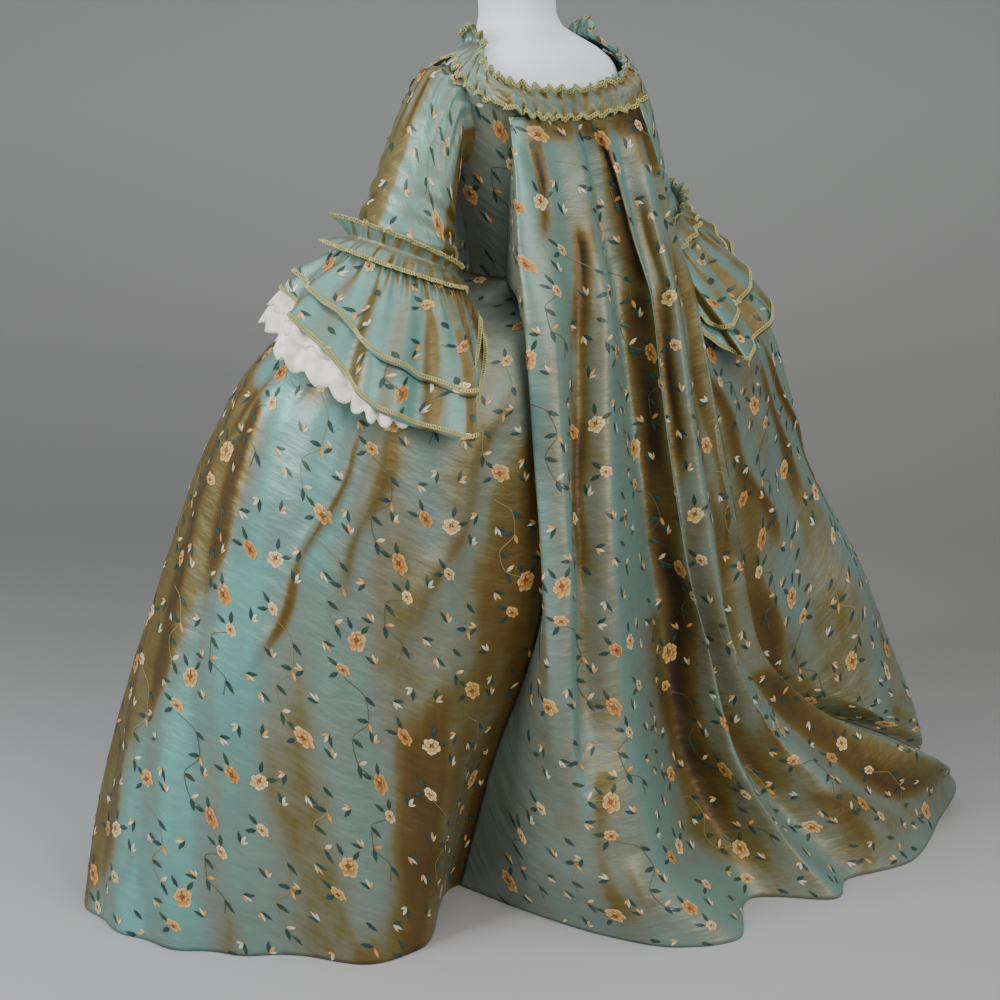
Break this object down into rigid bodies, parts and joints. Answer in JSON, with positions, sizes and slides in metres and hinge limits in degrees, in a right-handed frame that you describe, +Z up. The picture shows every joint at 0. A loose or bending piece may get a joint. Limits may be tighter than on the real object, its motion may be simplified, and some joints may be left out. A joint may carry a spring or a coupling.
{
  "type": "robe a la francaise on a limbless dress form",
  "caption": "Sack-backed silk gown with pleats falling from the neck into a train, wide side skirts and flounced elbow sleeves, on a limbless dress form.",
  "frame": {"origin": "on the floor, at the middle of the underside of the form's round foot", "axes": "+Z up, the gown faces -Y, the wearer's left is +X"},
  "size_m": [1.5886, 1.0628, 1.5031],
  "materials": {
    "silk": "shot silk taffeta, teal over brown, embroidered",
    "lace": "white cotton lace",
    "form_jersey": "white cotton jersey over a padded form",
    "form_steel": "dark satin paint"
  },
  "bodies": {
    "root": {"form_torso": "form_jersey", "form_pole": "form_steel", "form_foot": "form_steel", "petticoat_front": "silk", "petticoat_back": "silk", "robe_skirt_left": "silk", "robe_skirt_right": "silk", "sack_back": "silk", "bodice_front_left": "silk", "bodice_front_right": "silk", "bodice_back_left": "silk", "bodice_back_right": "silk", "stomacher": "silk", "sleeve_left": "silk", "sleeve_right": "silk", "flounce_upper_left": "silk", "flounce_upper_right": "silk", "flounce_lower_left": "silk", "flounce_lower_right": "silk", "sleeve_lace_left": "lace", "sleeve_lace_right": "lace", "sleeve_ruffle_left": "silk", "sleeve_ruffle_right": "silk", "neck_ruffle": "silk", "front_ruffle_left": "silk", "front_ruffle_right": "silk"}
  },
  "joints": []
}
